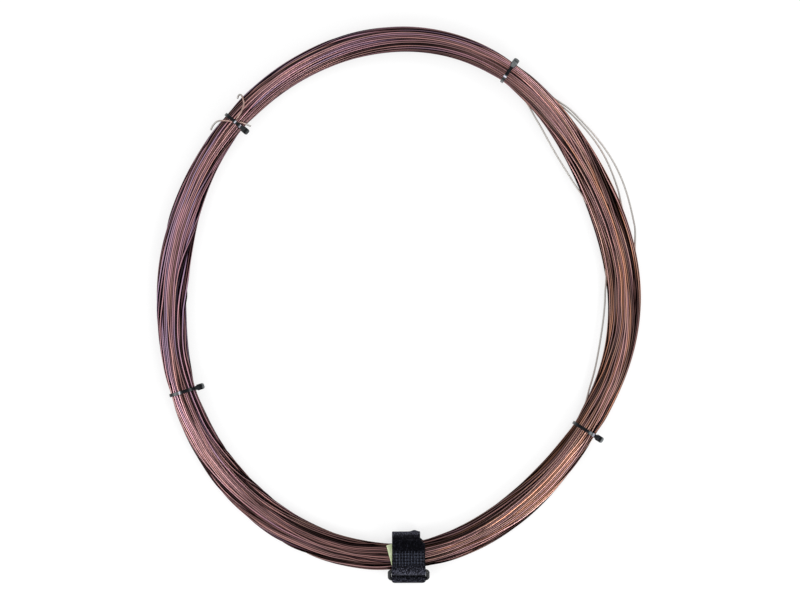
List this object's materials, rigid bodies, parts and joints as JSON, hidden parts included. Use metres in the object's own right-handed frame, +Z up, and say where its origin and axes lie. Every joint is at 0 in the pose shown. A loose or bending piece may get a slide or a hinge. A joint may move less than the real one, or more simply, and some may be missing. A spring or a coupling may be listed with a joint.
{
  "type": "copper wire coil",
  "caption": "Flat oval coil of tarnished bare copper wire, bound with black cable ties and a buckled hook-and-loop strap.",
  "frame": {"origin": "on the floor, under the middle of the coil's overall outline", "axes": "the coil lies flat; +Z is up out of it, +Y along its long way towards the upper ties, away from the strap, +X towards its wider side"},
  "size_m": [0.3686, 0.4224, 0.0178],
  "materials": {
    "copper_wire": "tarnished bare copper wire, satin",
    "tie_nylon": "black moulded nylon",
    "strap_webbing": "black woven hook and loop",
    "buckle_plastic": "black moulded plastic, slightly worn",
    "slip_paper": "pale green paper"
  },
  "bodies": {
    "root": {"wire_coil": "copper_wire", "loose_turns": "copper_wire", "wire_end": "copper_wire", "upper_right_tie": "tie_nylon", "upper_left_tie": "tie_nylon", "lower_left_tie": "tie_nylon", "lower_right_tie": "tie_nylon", "hook_loop_strap": "strap_webbing", "strap_buckle": "buckle_plastic", "paper_slip": "slip_paper"}
  },
  "joints": []
}
